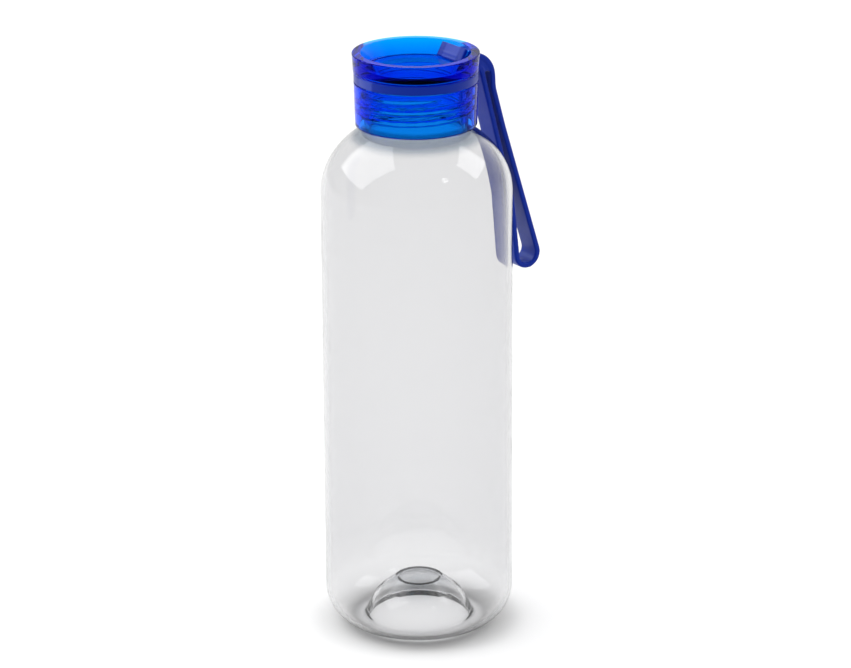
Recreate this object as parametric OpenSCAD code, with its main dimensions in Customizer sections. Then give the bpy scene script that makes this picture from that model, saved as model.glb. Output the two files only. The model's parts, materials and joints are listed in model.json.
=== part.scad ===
// Clear drinking bottle with a screw lid and a soft carry strap.
// The bottle's axis is Z, the base stands on Z = 0 and the strap hangs on the +X side.

/* [Bottle] */
// Outside diameter of the straight wall
body_d = 66; // [60:0.5:84]
// Height at which the straight wall ends and the shoulder begins
body_h = 158; // [110:1:230]
// How far the shoulder's curve would rise if it ran to the axis
shoulder_rise = 29; // [24:0.5:36]
// Half width of the shoulder's elliptical curve
shoulder_reach = 38; // [34:0.5:46]
// Thickness of the bottle's wall
wall = 1.4; // [1:0.1:2.4]
// Radius of the rounded heel
heel_r = 13.5; // [8:0.5:16]
// Width of the flat ring that the bottle stands on
foot_w = 1.2; // [0.8:0.1:2]
// Height of the raised centre of the base
punt_h = 14.5; // [6:0.5:18]
// How far the raised centre's flank leans inwards
punt_lean = 2.2; // [1:0.1:4]
// Diameter of the dimple in the middle of the base
dimple_d = 14; // [8:0.5:18]
// Depth of the dimple
dimple_depth = 0.8; // [0.4:0.1:1.2]

/* [Neck] */
// Outside diameter of the neck between its threads
neck_d = 35.6; // [30:0.2:38]
// Thickness of the neck's wall
neck_wall = 1.6; // [1.2:0.1:2.6]
// Height of the neck above the shoulder
neck_h = 17.6; // [14:0.2:24]

/* [Thread] */
// Rise of the thread in one turn
lead = 3.6; // [3:0.1:4.4]
// Number of turns of thread on the neck
turns = 2.75; // [2:0.25:3]
// Height of a thread ridge where it leaves the wall
ridge_root = 1.5; // [1.2:0.05:1.5]
// Height of a thread ridge at its crest
ridge_crest = 0.7; // [0.4:0.05:1]
// How far a thread ridge stands out of its wall
ridge_out = 1.05; // [0.9:0.05:1.3]
// Gap between a thread ridge's crest and the other piece's wall
thread_gap = 0.5; // [0.4:0.05:0.7]

/* [Lid] */
// Thickness of the lid's skirt at its open end
skirt_wall = 1.5; // [1.2:0.1:2.5]
// How much wider the skirt is at the groove than at its open end
skirt_draft = 0.4; // [0:0.05:0.8]
// Gap between the skirt's open end and the foot of the neck
skirt_gap = 0.8; // [0.5:0.1:3]
// Gap between the plain top of the neck and the lid's collar
collar_gap = 0.35; // [0.3:0.05:0.6]
// Thickness of the lid's floor under the well
floor_t = 1.6; // [1.2:0.1:2.4]
// Depth of the well in the top of the lid
well_depth = 5.1; // [4.6:0.1:8]
// Width of the rim's flat top
rim_w = 2.9; // [2.4:0.1:3.4]
// How much narrower the well is at its floor, on each side
well_slope = 2.8; // [1.5:0.1:3.2]
// Height of the rim from the groove to the top
rim_h = 6.5; // [6:0.1:7]
// How much the rim flares from the groove to the top
rim_flare = 0.35; // [0:0.05:0.6]
// How far the rim's lower edge stands out past the skirt
rim_step = 0.2; // [0:0.05:0.5]

/* [Seal] */
// Thickness of the sealing ring
seal_t = 1.7; // [1.2:0.1:2.4]
// Inside diameter of the sealing ring
seal_bore = 28.6; // [24:0.2:29]

/* [Strap] */
// Width of the strap
strap_w = 9; // [6:0.5:11]
// Thickness of the strap
strap_t = 1.9; // [1.5:0.1:2.4]
// Height of the strap's ring in the lid's groove
ring_h = 3.4; // [2.6:0.1:4]
// Thickness of the strap's ring
ring_t = 1.4; // [1:0.1:1.6]
// Radius of the strap's rounded root, where it flexes
root_r = 3.6; // [3:0.1:4.2]
// Gap between the rounded root and the pieces around it
root_gap = 0.3; // [0.25:0.05:0.5]
// How far the strap's root lies below the groove's upper edge
root_drop = 2.9; // [2.4:0.1:3.2]
// Length of the stretch below the root where the limbs lie close together
knee_drop = 8.5; // [7:0.1:12]
// Gap between the limbs at the end of that stretch
limb_gap = 0.8; // [0.2:0.05:1]
// Drop from the strap's root to the bottom of its loop
loop_drop = 74.5; // [60:0.5:100]
// Gap between the strap and the shoulder it hangs past
shoulder_gap = 0.9; // [0.8:0.1:2]
// Distance from the bottle's wall to the strap's inner limb
limb_stand = 3.6; // [2:0.1:4]
// How much further out the inner limb is at the bottom of the loop
limb_lean = 2.6; // [1:0.1:4]
// Radius of the turn at the bottom of the loop, at mid thickness
turn_r = 4.8; // [4:0.1:8]
// Width of the plate that anchors the strap in the well
anchor_w = 14; // [11:0.5:16]
// Thickness of the anchor plate
anchor_t = 1.3; // [1:0.1:1.6]
// Gap between the strap's fixed parts and the lid
seat_gap = 0.05; // [0.03:0.01:0.1]

/* [Hidden] */
$fn = 96;
clear_blue = [0.0, 0.25, 0.9, 0.75];
strap_blue = [0.17, 0.24, 0.62];
clear_plastic = [0.86, 0.88, 0.9, 0.35];
seal_white = [0.92, 0.92, 0.9];

body_r = body_d / 2;
neck_r = neck_d / 2;
bore_r = neck_r - neck_wall;
shoulder_x = body_r - shoulder_reach;
// Height of the shoulder's curve at radius r, on the outside
function shoulder_z(r) = body_h + shoulder_rise * sqrt(1 - pow((r - shoulder_x) / shoulder_reach, 2));
// Radius of the shoulder's curve at height z, on the outside
function shoulder_r(z) = shoulder_x + shoulder_reach * sqrt(1 - pow((z - body_h) / shoulder_rise, 2));
neck_foot_z = shoulder_z(neck_r);
neck_top_z = neck_foot_z + neck_h;
foot_r = body_r - heel_r;
punt_foot_r = foot_r - foot_w;
punt_top_r = punt_foot_r - punt_lean;
dimple_r = dimple_d / 2;
punt_shoulder_h = 0.72 * punt_h;

lid_bore_r = neck_r + ridge_out + thread_gap;
skirt_r = lid_bore_r + skirt_wall;
groove_lip_r = skirt_r + skirt_draft;
lid_floor_z = neck_top_z + seal_t;
well_floor_z = lid_floor_z + floor_t;
rim_z = well_floor_z + well_depth;
groove_top_z = rim_z - rim_h;
groove_z = groove_top_z - ring_h - 2 * seat_gap;
groove_r = groove_lip_r - ring_t - seat_gap;
collar_r = neck_r + collar_gap;
collar_z = groove_z - 0.4;
skirt_z = neck_foot_z + skirt_gap;
rim_low_r = groove_lip_r + rim_step;
rim_top_r = rim_low_r + rim_flare;
well_top_r = rim_top_r - rim_w;
well_floor_r = well_top_r - well_slope;

ridge_sink = 0.3;
step_a = 15;
neck_thread_z = skirt_z + ridge_root + 0.6;

// The strap's root is a hinge in effect: its axis runs along Y through this point
root_x = rim_top_r + root_gap + root_r;
root_z = groove_top_z - root_drop;
half_t = strap_t / 2;
loop_z = root_z - loop_drop + half_t;
limb_x = body_r + limb_stand + half_t;
// Outward lean of the inner limb, steep enough to pass the shoulder with its gap
limb_slope = max([for (i = [0:20])
    let (z = body_h + i * (neck_foot_z - body_h) / 24)
    (shoulder_r(z) + shoulder_gap + half_t - root_x) / (root_z - z)]);
bend_z = root_z - (limb_x - root_x) / limb_slope;
// The outer limb passes the knee, clear of the inner limb there
knee_x = root_x + limb_slope * knee_drop + strap_t / cos(atan(limb_slope)) + limb_gap;
knee_z = root_z - knee_drop;
// The turn at the bottom of the loop has a short flat between its two arcs
turn_flat = 0.2;
turn_x = limb_x + limb_lean;
// Leans of the two limbs from the vertical. The outer one aims for a point a little past the turn.
aim_past = 1.4;
inner_lean = atan(limb_lean / (bend_z - loop_z));
outer_lean = atan((turn_x + 2 * turn_r + aim_past - knee_x) / (knee_z - loop_z));
inner_reach = turn_r * tan(45 - inner_lean / 2);
outer_reach = turn_r * tan(45 + outer_lean / 2);
turn_mid_x = turn_x + inner_reach + turn_flat / 2;
turn_end_x = turn_x + inner_reach + turn_flat + outer_reach;
bend_r = 24;
knee_r = 12;
inner_limb = [[root_x, root_z], [limb_x, bend_z], [turn_x, loop_z], [turn_mid_x, loop_z]];
outer_limb = [
    [turn_mid_x, loop_z],
    [turn_end_x, loop_z],
    [knee_x, knee_z],
    [root_x + root_r - half_t, root_z],
];
tongue_z = well_floor_z + 0.25 + half_t;
tongue_end = rim_low_r;
// The ring's stub stays low enough for the loop to swing up past it
stub_z = groove_z + seat_gap;
stub_top_z = root_z + 1;

function unit(v) = v / norm(v);
function turn_left(v) = [-v[1], v[0]];

// Points of the arc that rounds corner b between a and c with radius r
function corner_arc(a, b, c, r) =
    let (
        u = unit(a - b),
        w = unit(c - b),
        half = acos(u * w) / 2,
        centre = b + unit(u + w) * r / sin(half),
        from = b + u * r / tan(half) - centre,
        side = (u[0] * w[1] - u[1] * w[0]) > 0 ? -1 : 1,
        sweep = 180 - 2 * half,
        n = max(2, ceil(sweep / 9))
    )
    [for (i = [0:n]) let (t = side * sweep * i / n)
        centre + [from[0] * cos(t) - from[1] * sin(t), from[0] * sin(t) + from[1] * cos(t)]];

// Centre line through the corners, each rounded with its own radius
function rounded(corners, radii) = [
    for (i = [0:len(corners) - 1])
        each radii[i] == 0 ? [corners[i]] : corner_arc(corners[i - 1], corners[i], corners[i + 1], radii[i])
];

// Direction of a line of points at point i
function heading(p, i) = unit(p[min(i + 1, len(p) - 1)] - p[max(i - 1, 0)]);

// Outline of a ribbon of thickness t along the line p
function ribbon(p, t) = concat(
    [for (i = [0:len(p) - 1]) p[i] + turn_left(heading(p, i)) * t / 2],
    [for (i = [len(p) - 1:-1:0]) p[i] - turn_left(heading(p, i)) * t / 2]
);

// Points of an ellipse's arc from angle a0 to a1, centred on [cx, cz]
function arc_points(cx, cz, rx, rz, a0, a1, n) =
    [for (i = [0:n]) let (a = a0 + (a1 - a0) * i / n) [cx + rx * cos(a), cz + rz * sin(a)]];

// Extrudes an outline in the X-Z plane to both sides of it
module slab(w) {
    rotate([90, 0, 0])
        translate([0, 0, -w / 2])
            linear_extrude(w)
                children();
}

// A helical ridge. wall_r is the wall it stands on, out is +1 for outwards and -1 for inwards
module thread_ridge(wall_r, out, z0, n_turns, phase) {
    steps = round(n_turns * 360 / step_a);
    foot = wall_r - out * ridge_sink;
    crest = wall_r + out * ridge_out;
    // The ridge fades in and out over a sixth of a turn
    fade_steps = 4;
    section = [for (i = [0:steps])
        let (
            f = min(1, (i + 0.4) / fade_steps, (steps - i + 0.4) / fade_steps),
            tip = foot + (crest - foot) * f,
            a = phase + i * step_a,
            z = z0 + lead * i * step_a / 360,
            root_half = ridge_root / 2,
            crest_half = ridge_crest / 2
        )
        each [for (c = [[foot, -root_half], [tip, -crest_half], [tip, crest_half], [foot, root_half]])
            [c[0] * cos(a), c[0] * sin(a), z + c[1]]]];
    sides = [for (i = [0:steps - 1], j = [0:3])
        let (a = 4 * i + j, b = 4 * i + (j + 1) % 4)
        each (out > 0
            ? [[a, b, b + 4], [a, b + 4, a + 4]]
            : [[b, a, b + 4], [b + 4, a, a + 4]])];
    last = 4 * steps;
    ends = out > 0
        ? [[0, 2, 1], [0, 3, 2], [last, last + 1, last + 2], [last, last + 2, last + 3]]
        : [[0, 1, 2], [0, 2, 3], [last, last + 2, last + 1], [last, last + 3, last + 2]];
    polyhedron(section, concat(sides, ends), convexity = 10);
}

module bottle_profile() {
    in_r = body_r - wall;
    outside = concat(
        [[punt_foot_r, 0]],
        arc_points(foot_r, heel_r, heel_r, heel_r, -90, 0, 12),
        arc_points(shoulder_x, body_h, shoulder_reach, shoulder_rise, 0,
            acos((neck_r - shoulder_x) / shoulder_reach), 16),
        [[neck_r, neck_top_z]]
    );
    inside = concat(
        [[bore_r, neck_top_z]],
        arc_points(shoulder_x, body_h, shoulder_reach - wall, shoulder_rise - wall,
            acos((bore_r - shoulder_x) / (shoulder_reach - wall)), 0, 16),
        arc_points(foot_r, heel_r, heel_r - wall, heel_r - wall, 0, -75, 10),
        [
            [punt_foot_r + 0.6, wall + 1.2],
            [punt_top_r + 0.6, punt_shoulder_h + wall],
            [punt_top_r - 2.5, punt_shoulder_h + wall + 1.6],
            [dimple_r + wall, punt_h + wall],
            [dimple_r, punt_h + wall - dimple_depth],
            [0, punt_h + wall - dimple_depth],
        ]
    );
    under = [
        [0, punt_h - dimple_depth],
        [dimple_r, punt_h - dimple_depth],
        [dimple_r + wall, punt_h],
        [punt_top_r - 2.5, punt_shoulder_h + 1.6],
        [punt_top_r, punt_shoulder_h],
    ];
    polygon(concat(outside, inside, under));
}

module bottle_body() {
    color(clear_plastic)
        union() {
            rotate_extrude()
                bottle_profile();
            thread_ridge(neck_r, 1, neck_thread_z, turns, 0);
        }
}

module lid_seal() {
    color(seal_white)
        translate([0, 0, neck_top_z])
            difference() {
                cylinder(h = seal_t, r = neck_r);
                translate([0, 0, -1])
                    cylinder(h = seal_t + 2, d = seal_bore);
            }
}

module lid_profile() {
    soft = 0.5;
    polygon(concat(
        [
            [0, lid_floor_z],
            [collar_r, lid_floor_z],
            [collar_r, collar_z],
            [lid_bore_r, collar_z - 0.8],
            [lid_bore_r, skirt_z + 0.3],
            [lid_bore_r + 0.3, skirt_z],
        ],
        arc_points(skirt_r - soft, skirt_z + soft, soft, soft, -90, 0, 4),
        [
            [groove_lip_r, groove_z],
            [groove_r, groove_z],
            [groove_r, groove_top_z],
            [rim_low_r, groove_top_z],
        ],
        arc_points(rim_top_r - soft, rim_z - soft, soft, soft, 0, 90, 4),
        arc_points(well_top_r + soft, rim_z - soft, soft, soft, 90, 150, 4),
        [
            [well_floor_r, well_floor_z],
            [0, well_floor_z],
        ]
    ));
}

module screw_lid() {
    color(clear_blue)
        union() {
            difference() {
                rotate_extrude()
                    lid_profile();
                // Window in the rim for the strap's tongue
                translate([well_floor_r - 2, -strap_w / 2 - seat_gap, tongue_z - half_t - seat_gap])
                    cube([rim_top_r, strap_w + 2 * seat_gap, strap_t + 2 * seat_gap]);
            }
            // The lid's ridge runs half a lead away from the neck's ridge
            thread_ridge(lid_bore_r, -1, neck_thread_z + lead / 2, turns - 0.5, 0);
        }
}

module strap_ring() {
    ring_r = groove_r + seat_gap;
    color(strap_blue)
        difference() {
            union() {
                translate([0, 0, groove_z + seat_gap])
                    cylinder(h = ring_h, r = ring_r + ring_t);
                translate([ring_r + ring_t / 2, -strap_w / 2, stub_z])
                    cube([root_x - ring_r - ring_t, strap_w, stub_top_z - stub_z]);
            }
            translate([0, 0, groove_z - 1])
                cylinder(h = ring_h + 3, r = ring_r);
            // Clearance for the loop's rounded root
            translate([root_x, 0, root_z])
                rotate([90, 0, 0])
                    cylinder(h = strap_w + 2, r = root_r + root_gap, center = true);
        }
}

module strap_anchor() {
    chord_top = sqrt(pow(well_top_r, 2) - pow(anchor_w / 2, 2));
    chord_low = sqrt(pow(well_floor_r, 2) - pow(anchor_w / 2, 2));
    back = -0.15;
    plate_z0 = well_floor_z + 0.1;
    plate_z1 = rim_z - 0.35;
    color(strap_blue)
        union() {
            slab(anchor_w)
                polygon([
                    [chord_low + back, plate_z0],
                    [chord_top + back, plate_z1],
                    [chord_top + back - anchor_t, plate_z1],
                    [chord_low + back - anchor_t, plate_z0],
                ]);
            translate([chord_low - anchor_t / 2, -strap_w / 2, tongue_z - half_t])
                cube([tongue_end - chord_low + anchor_t / 2, strap_w, strap_t]);
        }
}

module strap_loop() {
    color(strap_blue)
        union() {
            slab(strap_w)
                polygon(ribbon(rounded(inner_limb, [0, bend_r, turn_r, 0]), strap_t));
            slab(strap_w)
                polygon(ribbon(rounded(outer_limb, [0, turn_r, knee_r, 0]), strap_t));
            translate([root_x, 0, root_z])
                rotate([90, 0, 0])
                    cylinder(h = strap_w, r = root_r, center = true);
        }
}

bottle_body();
lid_seal();
screw_lid();
strap_ring();
strap_anchor();
strap_loop();
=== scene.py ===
import json
import math

import bmesh
import bpy
from mathutils import Matrix, Vector


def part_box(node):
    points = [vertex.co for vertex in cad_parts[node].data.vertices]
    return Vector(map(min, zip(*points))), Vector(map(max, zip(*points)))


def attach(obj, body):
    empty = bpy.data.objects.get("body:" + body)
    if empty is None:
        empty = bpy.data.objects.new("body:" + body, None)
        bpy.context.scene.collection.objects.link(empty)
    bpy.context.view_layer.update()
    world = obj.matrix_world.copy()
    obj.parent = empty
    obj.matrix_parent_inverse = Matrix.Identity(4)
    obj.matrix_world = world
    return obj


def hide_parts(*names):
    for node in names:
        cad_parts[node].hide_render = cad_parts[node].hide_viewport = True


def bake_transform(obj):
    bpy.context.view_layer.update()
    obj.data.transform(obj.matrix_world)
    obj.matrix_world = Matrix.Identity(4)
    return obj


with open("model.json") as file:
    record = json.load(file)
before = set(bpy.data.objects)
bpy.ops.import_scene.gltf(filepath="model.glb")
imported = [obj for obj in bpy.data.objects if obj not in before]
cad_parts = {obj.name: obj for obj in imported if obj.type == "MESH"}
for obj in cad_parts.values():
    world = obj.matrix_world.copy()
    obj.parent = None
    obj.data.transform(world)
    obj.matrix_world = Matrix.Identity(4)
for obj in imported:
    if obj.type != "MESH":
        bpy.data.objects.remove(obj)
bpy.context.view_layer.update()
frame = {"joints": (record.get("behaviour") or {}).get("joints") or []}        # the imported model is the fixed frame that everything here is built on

# A clear drinking bottle with a see-through blue screw lid and a soft carry strap.
# Sizes in the dictionaries are in millimetres and degrees unless a note says otherwise.

mm = 0.001
tiny = 1e-6


def boxInMm(node):
    low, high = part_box(node)
    return low / mm, high / mm


def addObject(name, data):
    piece = bpy.data.objects.new(name, data)
    bpy.context.scene.collection.objects.link(piece)
    return piece


bottleHigh = boxInMm("bottle_body")[1]
sealLow, sealHigh = boxInMm("lid_seal")
lidLow, lidHigh = boxInMm("screw_lid")
ringLow, ringHigh = boxInMm("strap_ring")
anchorLow, anchorHigh = boxInMm("strap_anchor")
loopLow, loopHigh = boxInMm("strap_loop")
swing = next(j for j in frame["joints"] if j["name"] == "strap_swing")
rootX = swing["pos_m"][0] / mm       # where the strap bends at its root
print("frame loaded, bottle %.1f mm tall" % lidHigh.z)


# The camera looks down from the front left, so that the strap hangs at the back right

cameraSettings = {
    "azimuth": -35.0,
    "distance": 1250.0,    # level distance from the bottle's axis
    "height": 535.6,
    "tilt": 18.965,        # looking down
    "pan": 0.127,          # keeps the bottle's axis a little left of the middle
    "roll": -0.326,
    "lens": 161.0,
    "sensor": 36.0,
    "clip": (0.01, 50.0),  # metres
}


def makeCamera(s):
    data = bpy.data.cameras.new("mainCamera")
    data.lens = s["lens"]
    data.sensor_width = s["sensor"]
    data.clip_start, data.clip_end = s["clip"]
    camera = addObject("mainCamera", data)
    turn = math.radians(s["azimuth"])
    place = Vector((math.sin(turn), -math.cos(turn), 0)) * s["distance"] * mm
    place.z = s["height"] * mm
    aim = Matrix.Rotation(turn - math.radians(s["pan"]), 4, "Z")
    aim = aim @ Matrix.Rotation(math.radians(90 - s["tilt"]), 4, "X")
    aim = aim @ Matrix.Rotation(math.radians(s["roll"]), 4, "Z")
    camera.matrix_world = Matrix.Translation(place) @ aim
    bpy.context.scene.camera = camera


makeCamera(cameraSettings)
print("camera placed")


# Small helpers for node trees

def feed(tree, socket, value):
    if isinstance(value, bpy.types.NodeSocket):
        tree.links.new(value, socket)
    elif value is not None:
        socket.default_value = value


def maths(tree, operation, *values):
    node = tree.nodes.new("ShaderNodeMath")
    node.operation = operation
    for socket, value in zip(node.inputs, values):
        feed(tree, socket, value)
    return node.outputs[0]


def ramp(tree, value, fromLow, fromHigh, toLow=0.0, toHigh=1.0, soft=False):
    node = tree.nodes.new("ShaderNodeMapRange")
    node.interpolation_type = "SMOOTHSTEP" if soft else "LINEAR"
    for name, v in (("Value", value), ("From Min", fromLow), ("From Max", fromHigh),
                    ("To Min", toLow), ("To Max", toHigh)):
        feed(tree, node.inputs[name], v)
    return node.outputs["Result"]


def fromAxis(tree, x, y):
    squares = maths(tree, "ADD", maths(tree, "POWER", x, 2.0), maths(tree, "POWER", y, 2.0))
    return maths(tree, "SQRT", squares)


def addSocket(tree, name, kind, default=None, out=False):
    socket = tree.interface.new_socket(name=name, in_out="OUTPUT" if out else "INPUT", socket_type=kind)
    if default is not None:
        socket.default_value = default


def runTree(piece, tree, values):
    # Gives the tree's inputs to a modifier by identifier, then keeps the result as a plain mesh
    modifier = piece.modifiers.new(tree.name, "NODES")
    modifier.node_group = tree
    for item in tree.interface.items_tree:
        if item.item_type == "SOCKET" and item.in_out == "INPUT" and item.name in values:
            modifier[item.identifier] = values[item.name]
    keepModified(piece)


# Small helpers for outlines and meshes

def arcPoints(centre, radii, start, end, steps):
    points = []
    for i in range(steps + 1):
        a = math.radians(start + (end - start) * i / steps)
        points.append(Vector((centre[0] + radii[0] * math.cos(a), centre[1] + radii[1] * math.sin(a))))
    return points


def roundCorners(corners, closed=False, stepAngle=10.0, guard=0.12):
    # Corners are (r, z, fillet). Guard points just past a fillet keep the flats beside it flat in shading.
    points = []
    last = len(corners) - 1
    for i, (r, z, fillet) in enumerate(corners):
        here = Vector((r, z))
        if fillet == 0 or (not closed and i in (0, last)):
            points.append(here)
            continue
        toBefore = (Vector(corners[i - 1][:2]) - here).normalized()
        toAfter = (Vector(corners[(i + 1) % len(corners)][:2]) - here).normalized()
        half = toBefore.angle(toAfter) / 2
        centre = here + (toBefore + toAfter).normalized() * fillet / math.sin(half)
        reach = fillet / math.tan(half)
        start = here + toBefore * reach - centre
        sweep = math.pi - 2 * half
        if toBefore.x * toAfter.y - toBefore.y * toAfter.x > 0:
            sweep = -sweep
        steps = max(2, math.ceil(abs(math.degrees(sweep)) / stepAngle))
        points.append(here + toBefore * (reach + guard))
        for k in range(steps + 1):
            a = sweep * k / steps
            c, s = math.cos(a), math.sin(a)
            points.append(centre + Vector((start.x * c - start.y * s, start.x * s + start.y * c)))
        points.append(here + toAfter * (reach + guard))
    return points


def offsetCorners(corners, away, leastFillet=0.3):
    # The same corners moved square to the line by a wall's thickness, with fillets to match
    moved = []
    for i, (r, z, fillet) in enumerate(corners):
        here = Vector((r, z))
        sides = [(Vector(corners[k][:2]) - Vector(corners[k - 1][:2])).normalized()
                 for k in (i, i + 1) if 0 < k < len(corners)]
        normals = [Vector((d.y, -d.x)) for d in sides]
        first, second = normals[0], normals[-1]
        place = here + (first + second) * away / (1 + first.dot(second))
        bends = sides[0].x * sides[-1].y - sides[0].y * sides[-1].x
        grown = max(leastFillet, fillet + (away if bends > 0 else -away)) if fillet else 0
        moved.append((place.x, place.y, grown))
    return moved


def splitLong(points, longest, lowZ, highZ):
    # Adds points along the steep stretches between two heights, where a thread will rise
    out = [points[0]]
    for a, b in zip(points, points[1:]):
        steep = abs(b.y - a.y) > abs(b.x - a.x) and min(a.y, b.y) < highZ and max(a.y, b.y) > lowZ
        pieces = max(1, math.ceil((b - a).length / longest)) if steep else 1
        out += [a.lerp(b, (k + 1) / pieces) for k in range(pieces)]
    return out


def angleFrom(a, seam):
    return abs((a - seam + 180) % 360 - 180)


def columnAngles(count, seams=(), spread=(0.12, 0.3, 0.6), clear=0.7):
    # Even columns round the axis, with close ones on both sides of each parting line
    angles = [360 * i / count for i in range(count)]
    for seam in seams:
        angles = [a for a in angles if angleFrom(a, seam) > clear]
        angles += [(seam + side * d) % 360 for side in (-1, 1) for d in spread]
    return sorted(angles)


def lathe(name, outline, angles, closed=False, seams=(), seamHeight=0.0, seamRadius=0.0, seamWidth=0.2):
    # Turns an outline round the bottle's axis. Parting lines stand proud outside the seam radius.
    bm = bmesh.new()
    rings = []
    for i, p in enumerate(outline):
        if p.x < tiny:
            rings.append([bm.verts.new((0, 0, p.y * mm))])
            continue
        before, after = outline[i - 1], outline[(i + 1) % len(outline)]
        along = (after - before).normalized()
        out = Vector((along.y, -along.x))
        ring = []
        for a in angles:
            r, z = p
            near = any(angleFrom(a, seam) < seamWidth for seam in seams)
            if near and p.x > seamRadius:
                r, z = p + out * seamHeight
            turn = math.radians(a)
            ring.append(bm.verts.new((r * math.cos(turn) * mm, r * math.sin(turn) * mm, z * mm)))
        rings.append(ring)
    pairs = list(zip(rings, rings[1:] + (rings[:1] if closed else [])))
    for low, high in pairs if closed else pairs[:len(rings) - 1]:
        for i in range(len(angles)):
            j = (i + 1) % len(angles)
            corners = []
            for ring, k in ((low, i), (low, j), (high, j), (high, i)):
                vert = ring[k % len(ring)]
                if vert not in corners:
                    corners.append(vert)
            if len(corners) > 2:
                bm.faces.new(corners)
    return closedPiece(name, bm)


def pieceFrom(name, bm):
    mesh = bpy.data.meshes.new(name)
    bm.to_mesh(mesh)
    bm.free()
    mesh.shade_smooth()
    return addObject(name, mesh)


def closedPiece(name, bm):
    # Turns a closed shell the right way out and makes its object
    bmesh.ops.recalc_face_normals(bm, faces=bm.faces)
    if bm.calc_volume(signed=True) < 0:
        bmesh.ops.reverse_faces(bm, faces=bm.faces)
    return pieceFrom(name, bm)


def keepModified(piece):
    # Keeps what the modifiers give as the piece's plain mesh
    bpy.context.view_layer.update()
    grown = piece.evaluated_get(bpy.context.evaluated_depsgraph_get())
    mesh = bpy.data.meshes.new_from_object(grown)
    old = piece.data
    piece.modifiers.clear()
    piece.data = mesh
    bpy.data.meshes.remove(old)
    mesh.name = piece.name
    return mesh


def dress(piece, material):
    piece.data.materials.clear()
    piece.data.materials.append(material)


# Shared finish: the faint unevenness of a moulded surface

finishSettings = {
    "markDetail": 6.0,
    "markRough": 0.62,
    "markFrom": (0.42, 0.72),   # how bright the noise is where a mark starts and where it is full
    "rippleDetail": 1.0,
}


def mouldedFinish(s):
    tree = bpy.data.node_groups.new("mouldedFinish", "ShaderNodeTree")
    for name, default in (("Mark Size", 6.0), ("Smooth", 0.02), ("Worn", 0.06),
                          ("Ripple Size", 9.0), ("Ripple Depth", 0.02)):
        addSocket(tree, name, "NodeSocketFloat", default)
    addSocket(tree, "Roughness", "NodeSocketFloat", out=True)
    addSocket(tree, "Normal", "NodeSocketVector", out=True)
    given = tree.nodes.new("NodeGroupInput").outputs
    result = tree.nodes.new("NodeGroupOutput").inputs
    place = tree.nodes.new("ShaderNodeTexCoord").outputs["Object"]

    marks = tree.nodes.new("ShaderNodeTexNoise")
    feed(tree, marks.inputs["Vector"], place)
    feed(tree, marks.inputs["Scale"], maths(tree, "DIVIDE", 1 / mm, given["Mark Size"]))
    feed(tree, marks.inputs["Detail"], s["markDetail"])
    feed(tree, marks.inputs["Roughness"], s["markRough"])
    mask = ramp(tree, marks.outputs["Fac"], *s["markFrom"], soft=True)
    feed(tree, result["Roughness"], ramp(tree, mask, 0.0, 1.0, given["Smooth"], given["Worn"]))

    ripple = tree.nodes.new("ShaderNodeTexNoise")
    feed(tree, ripple.inputs["Vector"], place)
    feed(tree, ripple.inputs["Scale"], maths(tree, "DIVIDE", 1 / mm, given["Ripple Size"]))
    feed(tree, ripple.inputs["Detail"], s["rippleDetail"])
    bump = tree.nodes.new("ShaderNodeBump")
    feed(tree, bump.inputs["Strength"], 1.0)
    feed(tree, bump.inputs["Distance"], maths(tree, "MULTIPLY", given["Ripple Depth"], mm))
    feed(tree, bump.inputs["Height"], ripple.outputs["Fac"])
    feed(tree, result["Normal"], bump.outputs["Normal"])
    return tree


finishTree = mouldedFinish(finishSettings)


def placeFinish(tree, values):
    node = tree.nodes.new("ShaderNodeGroup")
    node.node_tree = finishTree
    for name, value in values.items():
        feed(tree, node.inputs[name], value)
    return node.outputs


def newMaterial(name):
    material = bpy.data.materials.new(name)
    material.use_nodes = True
    tree = material.node_tree
    tree.nodes.clear()
    shader = tree.nodes.new("ShaderNodeBsdfPrincipled")
    output = tree.nodes.new("ShaderNodeOutputMaterial")
    return material, tree, shader, output


def giveFinish(tree, shader, s):
    # The moulded unevenness, and the shader's own even values
    finish = placeFinish(tree, s["finish"])
    feed(tree, shader.inputs["Roughness"], finish["Roughness"])
    feed(tree, shader.inputs["Normal"], finish["Normal"])
    shader.inputs["Transmission Weight"].default_value = s["clearness"]
    shader.inputs["IOR"].default_value = s["ior"]
    if "gloss" in s:
        shader.inputs["Specular Tint"].default_value = (*s["gloss"], 1)


def placeOn(tree):
    # Where a point lies on the piece: across the strap, up the bottle, and out from the bottle's axis
    split = tree.nodes.new("ShaderNodeSeparateXYZ")
    feed(tree, split.inputs[0], tree.nodes.new("ShaderNodeTexCoord").outputs["Object"])
    x, y, z = split.outputs
    return {"across": y, "height": z, "radius": fromAxis(tree, x, y)}


def mixColours(tree, mask, low, high):
    node = tree.nodes.new("ShaderNodeMix")
    node.data_type = "RGBA"
    feed(tree, node.inputs[0], mask)
    first, second = [i for i in node.inputs if i.type == "RGBA"]
    feed(tree, first, low if isinstance(low, bpy.types.NodeSocket) else (*low, 1))
    feed(tree, second, high if isinstance(high, bpy.types.NodeSocket) else (*high, 1))
    return next(o for o in node.outputs if o.type == "RGBA")


def softMask(tree, distance, ends):
    # Rises from 0 to 1 between two distances in millimetres
    return ramp(tree, distance, ends[0] * mm, ends[1] * mm, soft=True)


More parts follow.
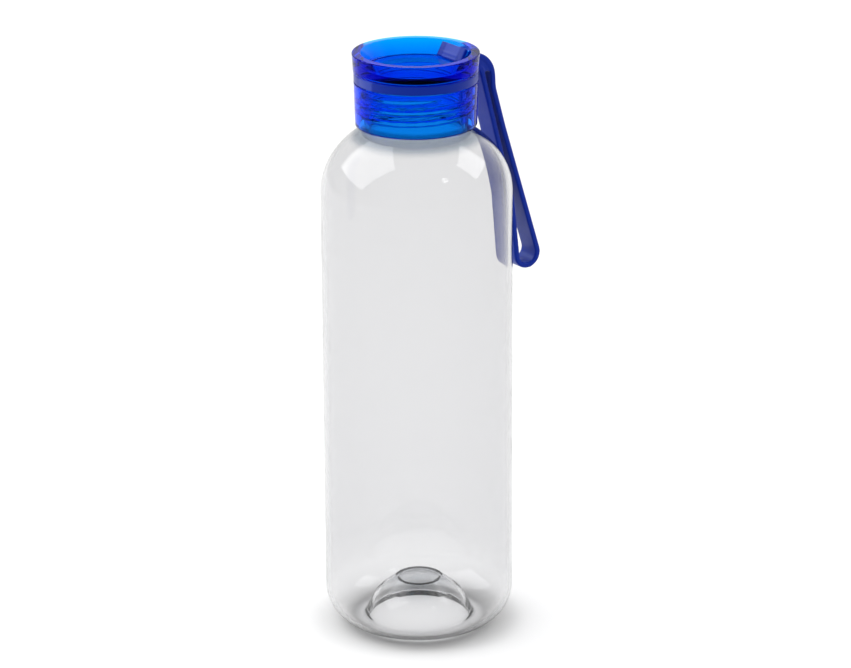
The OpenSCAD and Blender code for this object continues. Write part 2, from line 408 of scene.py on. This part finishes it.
def letLampsThrough(tree, shader, output, tint):
    # Rays from lamps and from matt surfaces pass straight through, tinted, so that clear pieces
    # throw soft shadows
    lamp = tree.nodes.new("ShaderNodeLightPath")
    clear = tree.nodes.new("ShaderNodeBsdfTransparent")
    feed(tree, clear.inputs["Color"], tint)
    surface = shader.outputs[0]
    for ray in ("Is Diffuse Ray", "Is Shadow Ray"):
        mix = tree.nodes.new("ShaderNodeMixShader")
        feed(tree, mix.inputs[0], lamp.outputs[ray])
        feed(tree, mix.inputs[1], surface)
        feed(tree, mix.inputs[2], clear.outputs[0])
        surface = mix.outputs[0]
    feed(tree, output.inputs["Surface"], surface)


def soakColour(tree, output, colour, density):
    # Colour that deepens with the thickness of plastic the light crosses
    soak = tree.nodes.new("ShaderNodeVolumeAbsorption")
    soak.inputs["Color"].default_value = (*colour, 1)
    soak.inputs["Density"].default_value = density
    feed(tree, output.inputs["Volume"], soak.outputs[0])


# The blown clear bottle, turned from one closed outline

bottleSettings = {
    "wall": 1.4,
    "heel": 13.5,
    "footWidth": 1.2,
    "footRound": 0.6,
    "valleySide": 0.2,       # the inside corner between the heel and the raised base
    "valleyThick": 0.8,
    "valleyRound": 1.6,
    "heelSweep": 68.0,       # how far the inside of the heel curves before that corner
    "wallRings": (30.0, 70.0, 110.0),   # rings of points up the straight wall, above the heel
    "ringNear": 0.5,         # and one this near each end, which keeps the shading straight
    "shoulderStart": 158.0,
    "shoulderRise": 29.0,
    "shoulderReach": 38.0,
    "neckRadius": 17.8,
    "neckWall": 1.6,
    "puntHeight": 15.0,
    "puntShoulder": 9.2,
    "puntLean": 3.4,
    "puntRound": 12.0,
    "baseWall": 1.0,
    "dimpleRadius": 7.0,
    "dimpleDepth": 0.35,
    "dimpleSlope": 0.6,
    "dimpleRound": 0.3,
    "lipRound": 0.45,
    "neckEnds": (0.6, 1.0),  # the neck's walls start this far above and below the shoulder's end
    "arcSteps": (24, 18, 30),           # of the heel, the inside of the heel and the shoulder
    "columns": 192,
}

threadSettings = {
    "lead": 3.6,
    "turns": 2.75,
    "lidShorter": 0.5,         # turns fewer in the lid's ridge
    "ridgeRoot": 1.6,
    "ridgeCrest": 0.6,
    "ridgeOut": 1.05,
    "start": lidLow.z + 2.1,   # height of the neck's ridge where it begins
    "fade": 0.16,              # share of a turn over which a ridge rises
    "step": 0.2,               # the wall is divided this finely where the thread rises
    "spare": 1.0,              # and this far past the thread's end
    "slack": 0.06,             # how near a point must lie to the wall to be pushed
    "footRoom": 0.8,           # from the lid's lower edge down to the neck's foot
}


def helicalThread():
    # Pushes a wall out along a helix, so that a ridge grows from the wall itself
    tree = bpy.data.node_groups.new("helicalThread", "GeometryNodeTree")
    addSocket(tree, "Wall", "NodeSocketGeometry")
    for name, default in (("Wall Radius", 0.018), ("Lead", 0.0036), ("Start", 0.184), ("Turns", 2.75),
                          ("Ridge Root", 0.0016), ("Ridge Crest", 0.0006), ("Ridge Out", 0.001),
                          ("Fade", 0.16), ("Slack", 0.00006)):
        addSocket(tree, name, "NodeSocketFloat", default)
    addSocket(tree, "Material", "NodeSocketMaterial")
    addSocket(tree, "Wall", "NodeSocketGeometry", out=True)
    given = tree.nodes.new("NodeGroupInput").outputs
    split = tree.nodes.new("ShaderNodeSeparateXYZ")
    feed(tree, split.inputs[0], tree.nodes.new("GeometryNodeInputPosition").outputs[0])
    x, y, z = split.outputs

    share = maths(tree, "DIVIDE", maths(tree, "ARCTAN2", y, x), 2 * math.pi)
    climb = maths(tree, "DIVIDE", maths(tree, "SUBTRACT", z, given["Start"]), given["Lead"])
    climb = maths(tree, "SUBTRACT", climb, share)
    nearest = maths(tree, "ROUND", climb)
    away = maths(tree, "ABSOLUTE", maths(tree, "SUBTRACT", climb, nearest))
    away = maths(tree, "MULTIPLY", away, given["Lead"])
    ridge = ramp(tree, away, maths(tree, "DIVIDE", given["Ridge Root"], 2.0),
                 maths(tree, "DIVIDE", given["Ridge Crest"], 2.0), soft=True)
    turn = maths(tree, "ADD", nearest, share)
    rise = ramp(tree, turn, 0.0, given["Fade"], soft=True)
    fall = ramp(tree, maths(tree, "SUBTRACT", given["Turns"], turn), 0.0, given["Fade"], soft=True)
    radius = fromAxis(tree, x, y)
    onWall = maths(tree, "COMPARE", radius, given["Wall Radius"], given["Slack"])
    ends = maths(tree, "MULTIPLY", rise, fall)
    push = maths(tree, "MULTIPLY", maths(tree, "MULTIPLY", ridge, onWall), ends)
    push = maths(tree, "DIVIDE", maths(tree, "MULTIPLY", push, given["Ridge Out"]), radius)
    offset = tree.nodes.new("ShaderNodeCombineXYZ")
    feed(tree, offset.inputs["X"], maths(tree, "MULTIPLY", x, push))
    feed(tree, offset.inputs["Y"], maths(tree, "MULTIPLY", y, push))

    move = tree.nodes.new("GeometryNodeSetPosition")
    feed(tree, move.inputs["Geometry"], given["Wall"])
    feed(tree, move.inputs["Offset"], offset.outputs[0])
    real = tree.nodes.new("GeometryNodeRealizeInstances")
    feed(tree, real.inputs[0], move.outputs[0])
    paint = tree.nodes.new("GeometryNodeSetMaterial")
    feed(tree, paint.inputs["Geometry"], real.outputs[0])
    feed(tree, paint.inputs["Material"], given["Material"])
    feed(tree, tree.nodes.new("NodeGroupOutput").inputs[0], paint.outputs[0])
    return tree


threadTree = helicalThread()


def cutThread(piece, wallRadius, start, turns, outwards, material):
    s = threadSettings
    runTree(piece, threadTree, {
        "Wall Radius": wallRadius * mm,
        "Lead": s["lead"] * mm,
        "Start": start * mm,
        "Turns": turns,
        "Ridge Root": s["ridgeRoot"] * mm,
        "Ridge Crest": s["ridgeCrest"] * mm,
        "Ridge Out": outwards * s["ridgeOut"] * mm,
        "Fade": s["fade"],
        "Slack": s["slack"] * mm,
        "Material": material,
    })


def divideForThread(outline, lowZ):
    s = threadSettings
    return splitLong(outline, s["step"], lowZ, s["start"] + s["turns"] * s["lead"] + s["spare"])


def bottleOutline(s):
    body = bottleHigh.x
    wall, heel = s["wall"], s["heel"]
    footOut = body - heel
    footIn = footOut - s["footWidth"]
    puntTop = footIn - s["puntLean"]
    middle = body - s["shoulderReach"]
    neck, bore = s["neckRadius"], s["neckRadius"] - s["neckWall"]
    reachIn, riseIn = s["shoulderReach"] - wall, s["shoulderRise"] - wall
    outEnd = math.degrees(math.acos((neck - middle) / s["shoulderReach"]))
    inEnd = math.degrees(math.acos((bore - middle) / reachIn))
    level = s["shoulderStart"]
    dimple, ceiling = s["dimpleRadius"], s["puntHeight"]

    levels = [heel + s["ringNear"], *(heel + up for up in s["wallRings"]), level - s["ringNear"]]
    heelSteps, inHeelSteps, shoulderSteps = s["arcSteps"]
    outside = arcPoints((footOut, heel), (heel, heel), -90, 0, heelSteps)
    outside += [Vector((body, z)) for z in levels]
    outside += arcPoints((middle, level), (s["shoulderReach"], s["shoulderRise"]), 0, outEnd, shoulderSteps)
    footZ = outside[-1].y
    above, below = s["neckEnds"]
    lip = [
        (neck, footZ + above, 0),
        (neck, bottleHigh.z, s["lipRound"]),
        (bore, bottleHigh.z, s["lipRound"]),
        (bore, footZ - below, 0),
    ]
    outside += roundCorners(lip)[:-1]
    inside = arcPoints((middle, level), (reachIn, riseIn), inEnd, 0, shoulderSteps)
    inside += [Vector((body - wall, z)) for z in reversed(levels)]
    inside += arcPoints((footOut, heel), (heel - wall, heel - wall), 0, -s["heelSweep"], inHeelSteps)
    underCorners = [
        (footOut, 0, 0),
        (footIn, 0, s["footRound"]),
        (puntTop, s["puntShoulder"], s["puntRound"]),
        (dimple + s["dimpleSlope"], ceiling, s["dimpleRound"]),
        (dimple, ceiling - s["dimpleDepth"], s["dimpleRound"]),
        (0, ceiling - s["dimpleDepth"], 0),
    ]
    floorCorners = offsetCorners(underCorners[2:], s["baseWall"])
    valley = (footIn + s["baseWall"] + s["valleySide"], s["baseWall"] + s["valleyThick"], s["valleyRound"])
    inside += roundCorners([(inside[-1].x, inside[-1].y, 0), valley] + floorCorners)[1:]
    under = roundCorners(underCorners)[1:]
    under.reverse()
    return under + outside + inside


def clearPlastic():
    s = {
        "wallTint": (0.895, 0.895, 0.90),
        "endTint": (1.0, 1.0, 1.0),      # the base and the neck are clearer than the blown wall
        "baseFade": (9.0, 26.0),
        "neckFade": (178.0, 187.0),
        "soak": (0.8, 0.8, 0.805),
        "density": 300.0,
        "ior": 1.38,
        "clearness": 1.0,
        "finish": {
            "Mark Size": 7.0,
            "Smooth": 0.01,
            "Worn": 0.06,
            "Ripple Size": 16.0,
            "Ripple Depth": 0.06,
        },
        "lampWall": (1.0, 1.0, 1.0),
        "lampHeel": (0.4, 0.4, 0.4),  # the thick heel throws the bottle's contact shadow
        "heelRadii": (21.2, 24.0),
        "heelTop": (9.0, 5.0),
        "shade": (0.36, 0.41, 0.47),     # the shoulder is shaded where the lid comes down over it
        "shadeRadii": (23.6, 20.6),
        "shadeHeights": (lidLow.z + 1.5, lidLow.z),
    }
    material, tree, shader, output = newMaterial("clearPlastic")
    place = placeOn(tree)
    wall = softMask(tree, place["height"], s["baseFade"])
    neck = softMask(tree, place["height"], s["neckFade"])
    tint = mixColours(tree, wall, s["endTint"], s["wallTint"])
    tint = mixColours(tree, neck, tint, s["endTint"])
    shade = maths(tree, "MULTIPLY", softMask(tree, place["radius"], s["shadeRadii"]),
                  softMask(tree, place["height"], s["shadeHeights"]))
    shade = maths(tree, "MULTIPLY", shade, wall)
    feed(tree, shader.inputs["Base Color"], mixColours(tree, shade, tint, s["shade"]))
    giveFinish(tree, shader, s)
    heel = maths(tree, "MULTIPLY", softMask(tree, place["radius"], s["heelRadii"]),
                 softMask(tree, place["height"], s["heelTop"]))
    letLampsThrough(tree, shader, output, mixColours(tree, heel, s["lampWall"], s["lampHeel"]))
    soakColour(tree, output, s["soak"], s["density"])
    return material


def makeBottle(s):
    t = threadSettings
    material = clearPlastic()
    outline = divideForThread(bottleOutline(s), lidLow.z - t["footRoom"])
    bottle = lathe("bottle", outline, columnAngles(s["columns"]))
    cutThread(bottle, s["neckRadius"], t["start"], t["turns"], 1, material)
    dress(bottle, material)
    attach(bottle, "bottle")
    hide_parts("bottle_body")
    return bottle


bottle = makeBottle(bottleSettings)
print("bottle made, %d faces" % len(bottle.data.polygons))


# The screw lid, with a groove for the strap's ring and a well in its top

lidSettings = {
    "skirtWall": 1.5,
    "skirtDraft": 0.4,
    "boreGap": 1.55,       # from the neck's wall to the lid's bore
    "collarGap": 0.35,
    "collarRise": 0.4,     # the collar ends this far under the groove
    "collarSlope": 0.8,
    "wellDepth": 5.1,
    "rimWidth": 2.9,
    "wellSlope": 2.8,
    "rimHeight": 6.5,
    "rimFlare": 0.35,
    "rimStep": 0.2,
    "grooveDeep": 1.45,
    "ringRoom": 0.05,      # under the strap's ring
    "edge": 0.35,          # rounding of the outer edges
    "wellEdge": 0.45,
    "wellRound": 0.6,
    "collarRound": 0.4,
    "innerRound": 0.25,
    "skirtRound": 0.2,
    "stepRound": 0.3,
    "guard": 0.08,
    "windowGap": 0.12,
    "windowLong": 12.0,
    "windowIn": 3.0,       # from the anchor plate's outer end to the window's middle
    "sharpAbove": 50.0,    # edges bent more than this stay crisp round the window
    "seams": (-125.0, 55.0),
    "seamHeight": 0.06,
    "seamClear": 0.3,      # the parting lines stay off the bore
    "columns": 192,
}


def lidOutline(s):
    neck = bottleSettings["neckRadius"]
    bore = neck + s["boreGap"]
    skirt = bore + s["skirtWall"]
    groove = skirt + s["skirtDraft"]
    collar = neck + s["collarGap"]
    grooveTop = lidHigh.z - s["rimHeight"]
    grooveLow = ringLow.z - s["ringRoom"]
    collarLow = grooveLow - s["collarRise"]
    rimLow = groove + s["rimStep"]
    rimTop = rimLow + s["rimFlare"]
    wellTop = rimTop - s["rimWidth"]
    wellFloor = wellTop - s["wellSlope"]
    wellZ = lidHigh.z - s["wellDepth"]
    edge, inner = s["edge"], s["innerRound"]
    corners = [
        (0, sealHigh.z, 0),
        (collar, sealHigh.z, s["collarRound"]),
        (collar, collarLow, inner),
        (bore, collarLow - s["collarSlope"], inner),
        (bore, lidLow.z, edge),
        (skirt, lidLow.z, edge),
        (groove, grooveLow, s["skirtRound"]),
        (groove - s["grooveDeep"], grooveLow, inner),
        (groove - s["grooveDeep"], grooveTop, inner),
        (rimLow, grooveTop, s["stepRound"]),
        (rimTop, lidHigh.z, edge),
        (wellTop, lidHigh.z, s["wellEdge"]),
        (wellFloor, wellZ, s["wellRound"]),
        (0, wellZ, 0),
    ]
    return roundCorners(corners, guard=s["guard"])


def lidPlastic():
    s = {
        "skirtTint": (0.2, 0.42, 1.0),
        "rimTint": (0.06, 0.85, 1.0),
        "rimFrom": (ringLow.z - 0.5, ringHigh.z + 0.5),
        "gloss": (0.05, 0.35, 1.0),
        "ior": 1.16,
        "clearness": 1.0,
        "finish": {
            "Mark Size": 5.0,
            "Smooth": 0.0,
            "Worn": 0.04,
            "Ripple Size": 7.0,
            "Ripple Depth": 0.012,
        },
        "soak": (0.0, 0.89, 0.991),
        "density": 2600.0,
        "lamp": (0.6, 0.8, 1.0, 1.0),
    }
    material, tree, shader, output = newMaterial("lidPlastic")
    rim = softMask(tree, placeOn(tree)["height"], s["rimFrom"])
    feed(tree, shader.inputs["Base Color"], mixColours(tree, rim, s["skirtTint"], s["rimTint"]))
    giveFinish(tree, shader, s)
    letLampsThrough(tree, shader, output, s["lamp"])
    soakColour(tree, output, s["soak"], s["density"])
    return material


def cutWindow(lid, s):
    # The strap's tongue passes through the rim here
    room = 2 * s["windowGap"]
    bm = bmesh.new()
    bmesh.ops.create_cube(bm, size=1.0)
    size = Vector((s["windowLong"], strapSettings["width"] + room, strapSettings["thickness"] + room))
    place = Vector((anchorHigh.x - s["windowIn"], 0, strapSettings["tongueZ"]))
    for v in bm.verts:
        v.co = Vector([(c * w + m) * mm for c, w, m in zip(v.co, size, place)])
    window = closedPiece("window", bm)
    cut = lid.modifiers.new("window", "BOOLEAN")
    cut.operation = "DIFFERENCE"
    cut.solver = "EXACT"
    cut.object = window
    mesh = keepModified(lid)
    bpy.data.objects.remove(window)
    mesh.shade_smooth()
    mesh.set_sharp_from_angle(angle=math.radians(s["sharpAbove"]))


def makeLid(s):
    t = threadSettings
    material = lidPlastic()
    bore = bottleSettings["neckRadius"] + s["boreGap"]
    outline = divideForThread(lidOutline(s), lidLow.z)
    lid = lathe("screwLid", outline, columnAngles(s["columns"], s["seams"]), seams=s["seams"],
                seamHeight=s["seamHeight"], seamRadius=bore + s["seamClear"])
    # The lid's ridge starts half a lead higher, so that it lies between the neck's turns
    cutThread(lid, bore, t["start"] + t["lead"] / 2, t["turns"] - t["lidShorter"], -1, material)
    cutWindow(lid, s)
    dress(lid, material)
    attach(lid, "lid")
    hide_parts("screw_lid")
    return lid


# The sealing ring, squeezed between the neck and the lid

sealSettings = {
    "bore": 14.3,
    "round": 0.3,
    "gap": 0.03,      # kept off the neck's top and the lid's underside
    "columns": 128,
}


def sealSilicone():
    s = {
        "milk": (0.86, 0.87, 0.88),
        "ior": 1.41,
        "clearness": 0.35,
        "finish": {
            "Mark Size": 2.0,
            "Smooth": 0.35,
            "Worn": 0.5,
            "Ripple Size": 1.5,
            "Ripple Depth": 0.01,
        },
    }
    material, tree, shader, output = newMaterial("sealSilicone")
    shader.inputs["Base Color"].default_value = (*s["milk"], 1)
    giveFinish(tree, shader, s)
    feed(tree, output.inputs["Surface"], shader.outputs[0])
    return material


def makeSeal(s):
    low, high = sealLow.z + s["gap"], sealHigh.z - s["gap"]
    corners = [(s["bore"], low, s["round"]), (sealHigh.x, low, s["round"]),
               (sealHigh.x, high, s["round"]), (s["bore"], high, s["round"])]
    seal = lathe("sealRing", roundCorners(corners, closed=True), columnAngles(s["columns"]), closed=True)
    dress(seal, sealSilicone())
    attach(seal, "seal")
    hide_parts("lid_seal")
    return seal


# The carry strap: a ring, a bent tongue with its plate, and a hanging loop, moulded in one

strapSettings = {
    "width": loopHigh.y - loopLow.y,
    "thickness": 1.9,
    "edge": 0.4,
    "close": 0.05,               # the ring and the plate stay this far inside their boxes' top and bottom
    # the ring in the lid's groove
    "ringThick": 1.4,
    "ringInset": (0.06, 0.03),
    "ringRound": 0.3,
    "columns": 144,
    # the tongue through the rim's window, and the plate in the well
    "tongueZ": anchorLow.z + 1.1,
    "tongueIn": 1.0,             # from the plate's inner side
    "plateThick": 1.3,
    "plateWidth": anchorHigh.y - anchorLow.y,
    "plateEnds": (0.85, 3.45),   # the plate's lower and upper end, from the same side
    # the outer limb, from the bend over the rim's side down to the turn
    "shoulderReach": 3.2,        # from the strap's root out to the bend's corner
    "shoulderRound": 8.5,
    "knee": (29.75, 190.6),      # where it turns outwards
    "kneeRound": 9.0,
    "sway": (33.9, 176.0),       # and where it leans a little more
    "swayRound": 40.0,
    # the inner limb, from the ring down to the turn
    "rootIn": 1.3,
    "rootRound": 2.5,            # where it turns down from the ring
    "limbStand": 4.55,           # from the bottle's wall to its middle
    "limbLean": 2.9,
    "bendZ": 149.7,
    "bendRound": 24.0,
    # the turn at the bottom
    "turnRadius": 4.3,
    "turnIn": 0.25,
    "turnDrop": 0.4,
    "overlap": 1.0,
    # the filled corner between the limbs
    "hubSides": (22.1, 25.6),    # from the bottle's axis
    "hubShares": (0.8, 0.5, 0.9),       # of half the thickness, at its top, side and foot
    "hubSweep": (72, 12),
    "hubDrop": 2.0,
    "hubNarrow": 0.7,
    # how finely it is made
    "pathStep": 1.0,
    "bendStep": 5.0,
    "bendGuard": 0.3,
    "voxel": 0.3,
    "easing": (0.5, 4),          # strength and number of passes
}

ringZ = (ringLow.z + ringHigh.z) / 2
ringOut = (ringHigh.y - ringLow.y) / 2


def softRibbon():
    # Sweeps a rounded flat section along a path that lies in the X-Z plane
    tree = bpy.data.node_groups.new("softRibbon", "GeometryNodeTree")
    addSocket(tree, "Path", "NodeSocketGeometry")
    for name, default in (("Width", 0.009), ("Thickness", 0.0019), ("Edge", 0.0004)):
        addSocket(tree, name, "NodeSocketFloat", default)
    addSocket(tree, "Material", "NodeSocketMaterial")
    addSocket(tree, "Ribbon", "NodeSocketGeometry", out=True)
    given = tree.nodes.new("NodeGroupInput").outputs
    curve = tree.nodes.new("GeometryNodeMeshToCurve")
    feed(tree, curve.inputs[0], given["Path"])
    lean = tree.nodes.new("GeometryNodeSetCurveNormal")
    lean.mode = "FREE"
    feed(tree, lean.inputs["Curve"], curve.outputs[0])
    feed(tree, lean.inputs["Normal"], (0.0, 1.0, 0.0))
    section = tree.nodes.new("GeometryNodeCurvePrimitiveQuadrilateral")
    feed(tree, section.inputs["Width"], given["Width"])
    feed(tree, section.inputs["Height"], given["Thickness"])
    fillet = tree.nodes.new("GeometryNodeFilletCurve")
    fillet.mode = "POLY"
    feed(tree, fillet.inputs["Curve"], section.outputs[0])
    feed(tree, fillet.inputs["Radius"], given["Edge"])
    feed(tree, fillet.inputs["Count"], 3)      # points round each edge
    sweep = tree.nodes.new("GeometryNodeCurveToMesh")
    feed(tree, sweep.inputs["Curve"], lean.outputs[0])
    feed(tree, sweep.inputs["Profile Curve"], fillet.outputs[0])
    feed(tree, sweep.inputs["Fill Caps"], True)
    real = tree.nodes.new("GeometryNodeRealizeInstances")
    feed(tree, real.inputs[0], sweep.outputs[0])
    paint = tree.nodes.new("GeometryNodeSetMaterial")
    feed(tree, paint.inputs["Geometry"], real.outputs[0])
    feed(tree, paint.inputs["Material"], given["Material"])
    feed(tree, tree.nodes.new("NodeGroupOutput").inputs[0], paint.outputs[0])
    return tree


ribbonTree = softRibbon()


def evenSteps(points, step):
    out = [points[0]]
    for a, b in zip(points, points[1:]):
        pieces = max(1, round((b - a).length / step))
        out += [a.lerp(b, (k + 1) / pieces) for k in range(pieces)]
    return out


def makeRibbon(name, corners, width, thickness, material):
    t = strapSettings
    points = evenSteps(roundCorners(corners, stepAngle=t["bendStep"], guard=t["bendGuard"]), t["pathStep"])
    mesh = bpy.data.meshes.new(name)
    mesh.from_pydata([(p.x * mm, 0, p.y * mm) for p in points],
                     [(i, i + 1) for i in range(len(points) - 1)], [])
    ribbon = addObject(name, mesh)
    runTree(ribbon, ribbonTree, {
        "Width": width * mm,
        "Thickness": thickness * mm,
        "Edge": t["edge"] * mm,
        "Material": material,
    })
    bm = bmesh.new()
    bm.from_mesh(ribbon.data)
    bmesh.ops.remove_doubles(bm, verts=bm.verts, dist=tiny)
    bmesh.ops.recalc_face_normals(bm, faces=bm.faces)
    bm.to_mesh(ribbon.data)
    bm.free()
    return ribbon


def makeBlock(name, corners, width):
    # A flat outline in the X-Z plane, given its width across
    bm = bmesh.new()
    near = [bm.verts.new((p.x * mm, -width / 2 * mm, p.y * mm)) for p in corners]
    far = [bm.verts.new((p.x * mm, width / 2 * mm, p.y * mm)) for p in corners]
    bm.faces.new(near)
    bm.faces.new(reversed(far))
    for i in range(len(corners)):
        j = (i + 1) % len(corners)
        bm.faces.new((near[i], far[i], far[j], near[j]))
    return closedPiece(name, bm)


def strapRubber():
    s = {
        "paintedFace": (0.032, 0.058, 0.36),    # the middle of the strap's faces, painted lighter and milky as painted sheen
        "rim": (0.003, 0.018, 0.27),     # its edges, painted a deeper blue as painted shade of the translucent strap
        "rimFrom": (3.3, 4.35),
        "gloss": (0.3, 0.5, 1.0),
        "glossLevel": 0.2,
        "ior": 1.45,
        "clearness": 0.2,
        "finish": {
            "Mark Size": 4.0,
            "Smooth": 0.3,
            "Worn": 0.42,
            "Ripple Size": 3.0,
            "Ripple Depth": 0.02,
        },
    }
    material, tree, shader, output = newMaterial("strapRubber")
    # Painted light: a lighter milky middle and deeper blue edges across the strap stand in for its sheen
    # and the shading of the translucent rubber
    edge = softMask(tree, maths(tree, "ABSOLUTE", placeOn(tree)["across"]), s["rimFrom"])
    feed(tree, shader.inputs["Base Color"], mixColours(tree, edge, s["paintedFace"], s["rim"]))
    giveFinish(tree, shader, s)
    shader.inputs["Specular IOR Level"].default_value = s["glossLevel"]
    feed(tree, output.inputs["Surface"], shader.outputs[0])
    return material


def strapLimbs(s, material):
    # Two ribbons that leave the ring and meet in the middle of the turn at the bottom
    half = s["thickness"] / 2
    loopZ = loopLow.z + half - s["turnDrop"]
    limbX = bottleHigh.x + s["limbStand"]
    turnX = limbX + s["limbLean"]
    turnOut = loopHigh.x - half - s["turnIn"]
    turnMid = (turnX + turnOut) / 2
    # The outer limb's lowest corner lies out past the turn, because that limb leans
    outLean = (turnOut - s["sway"][0]) / (s["sway"][1] - loopZ)
    turnCorner = turnOut + outLean * s["turnRadius"]
    inner = [
        (ringOut - s["ringThick"] / 2, ringZ, 0),
        (rootX - s["rootIn"], ringZ, s["rootRound"]),
        (limbX, s["bendZ"], s["bendRound"]),
        (turnX, loopZ, s["turnRadius"]),
        (turnMid + s["overlap"], loopZ, 0),
    ]
    outer = [
        (anchorLow.x + s["tongueIn"], s["tongueZ"], 0),
        (rootX + s["shoulderReach"], s["tongueZ"], s["shoulderRound"]),
        (*s["knee"], s["kneeRound"]),
        (*s["sway"], s["swayRound"]),
        (turnCorner, loopZ, s["turnRadius"]),
        (turnMid - s["overlap"], loopZ, 0),
    ]
    return [makeRibbon(name, corners, s["width"], s["thickness"], material)
            for name, corners in (("innerLimb", inner), ("outerLimb", outer))]


def strapHub(s):
    # Fills the corner between the two limbs, where they leave the ring
    half = s["thickness"] / 2
    bend = s["shoulderRound"]
    centre = (rootX + s["shoulderReach"] - bend, s["tongueZ"] - bend)
    hubIn, hubOut = s["hubSides"]
    top, side, foot = s["hubShares"]
    outline = [Vector((hubIn, s["tongueZ"] + half * top))]
    outline += arcPoints(centre, (bend + half * side,) * 2, *s["hubSweep"], 8)
    outline += [Vector((hubOut, ringZ - s["hubDrop"])), Vector((hubIn, ringZ - half * foot))]
    return makeBlock("hub", outline, s["width"] - s["hubNarrow"])


def strapRing(s):
    # Lies in the lid's groove
    low, high = ringLow.z + s["close"], ringHigh.z - s["close"]
    inside = ringOut - s["ringThick"] + s["ringInset"][0]
    outside = ringOut - s["ringInset"][1]
    sides = ((inside, low), (outside, low), (outside, high), (inside, high))
    corners = [(r, z, s["ringRound"]) for r, z in sides]
    return lathe("ring", roundCorners(corners, closed=True), columnAngles(s["columns"]), closed=True)


def anchorPlate(s, material):
    # Lies in the lid's well and slopes up to its outer end
    low, high = s["plateEnds"]
    corners = [
        (anchorLow.x + low, anchorLow.z + s["close"], 0),
        (anchorLow.x + high, anchorHigh.z - s["close"], 0),
    ]
    return makeRibbon("plate", corners, s["plateWidth"], s["plateThick"], material)


def makeStrap(s):
    # One moulded piece: its parts are welded through a fine voxel mesh and eased
    material = strapRubber()
    joined = bmesh.new()
    for part in (*strapLimbs(s, material), strapHub(s), strapRing(s), anchorPlate(s, material)):
        joined.from_mesh(part.data)
        bpy.data.objects.remove(part)
    strap = pieceFrom("carryStrap", joined)
    weld = strap.modifiers.new("weld", "REMESH")
    weld.mode = "VOXEL"
    weld.voxel_size = s["voxel"] * mm
    ease = strap.modifiers.new("ease", "SMOOTH")
    ease.factor, ease.iterations = s["easing"]
    keepModified(strap).shade_smooth()
    dress(strap, material)
    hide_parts("strap_ring", "strap_anchor", "strap_loop")
    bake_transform(strap)
    return strap


lid = makeLid(lidSettings)
print("lid made, %d faces" % len(lid.data.polygons))
makeSeal(sealSettings)
print("seal made")
strap = makeStrap(strapSettings)
print("strap made, %d faces" % len(strap.data.polygons))


# Floor, world and softboxes

studioSettings = {
    "floorSize": 12000.0,
    "floorDrop": 0.2,
    "floorShade": (0.77, 0.77, 0.77),
    "farShade": (1.0, 1.0, 1.0),     # far off the floor meets the white background without an edge
    "farRadii": (450.0, 1600.0),
    "floorRoughness": 0.9,
    "floorGloss": 0.1,
    "skyStrength": 1.0,
    "maxBounces": 24,
    "aimHeight": 120.0,              # what the softboxes point at, on the bottle's axis
}

# Turn is from the camera's side, with right positive. Distances and sizes are in metres.
softboxes = {
    "leftBox": {"turn": -98, "rise": 45, "distance": 1.3, "size": (1.3, 1.2), "watts": 12.5},
    "rightBox": {"turn": 102, "rise": 40, "distance": 1.3, "size": (0.7, 0.6), "watts": 3.6},
    "frontSpot": {"turn": 44, "rise": 42, "distance": 1.4, "size": (0.14, 0.18), "watts": 0.3},
}


def makeFloor(s):
    mesh = bpy.data.meshes.new("floor")
    half, low = s["floorSize"] / 2 * mm, -s["floorDrop"] * mm
    corners = [(x * half, y * half, low) for x, y in ((-1, -1), (1, -1), (1, 1), (-1, 1))]
    mesh.from_pydata(corners, [], [(0, 1, 2, 3)])
    floor = addObject("floor", mesh)
    material, tree, shader, output = newMaterial("paleFloor")
    far = softMask(tree, placeOn(tree)["radius"], s["farRadii"])
    feed(tree, shader.inputs["Base Color"], mixColours(tree, far, s["floorShade"], s["farShade"]))
    shader.inputs["Roughness"].default_value = s["floorRoughness"]
    shader.inputs["Specular IOR Level"].default_value = s["floorGloss"]
    feed(tree, output.inputs["Surface"], shader.outputs[0])
    dress(floor, material)


def makeSky(s):
    world = bpy.data.worlds.new("studio")
    world.use_nodes = True
    sky = world.node_tree.nodes["Background"]
    sky.inputs["Color"].default_value = (1, 1, 1, 1)
    sky.inputs["Strength"].default_value = s["skyStrength"]
    scene = bpy.context.scene
    scene.world = world
    scene.view_settings.view_transform = "Standard"
    scene.cycles.max_bounces = s["maxBounces"]
    scene.cycles.transmission_bounces = s["maxBounces"]
    scene.cycles.transparent_max_bounces = s["maxBounces"]


def hangSoftbox(name, box, target):
    data = bpy.data.lights.new(name, "AREA")
    data.shape = "RECTANGLE"
    data.size, data.size_y = box["size"]
    data.energy = box["watts"]
    light = addObject(name, data)
    turn = math.radians(cameraSettings["azimuth"] + box["turn"])
    rise = math.radians(box["rise"])
    out = Vector((math.sin(turn) * math.cos(rise), -math.cos(turn) * math.cos(rise), math.sin(rise)))
    light.location = target + out * box["distance"]
    light.rotation_euler = (-out).to_track_quat("-Z", "Y").to_euler()


makeFloor(studioSettings)
makeSky(studioSettings)
for name, box in softboxes.items():
    hangSoftbox(name, box, Vector((0, 0, studioSettings["aimHeight"] * mm)))
print("studio lit")
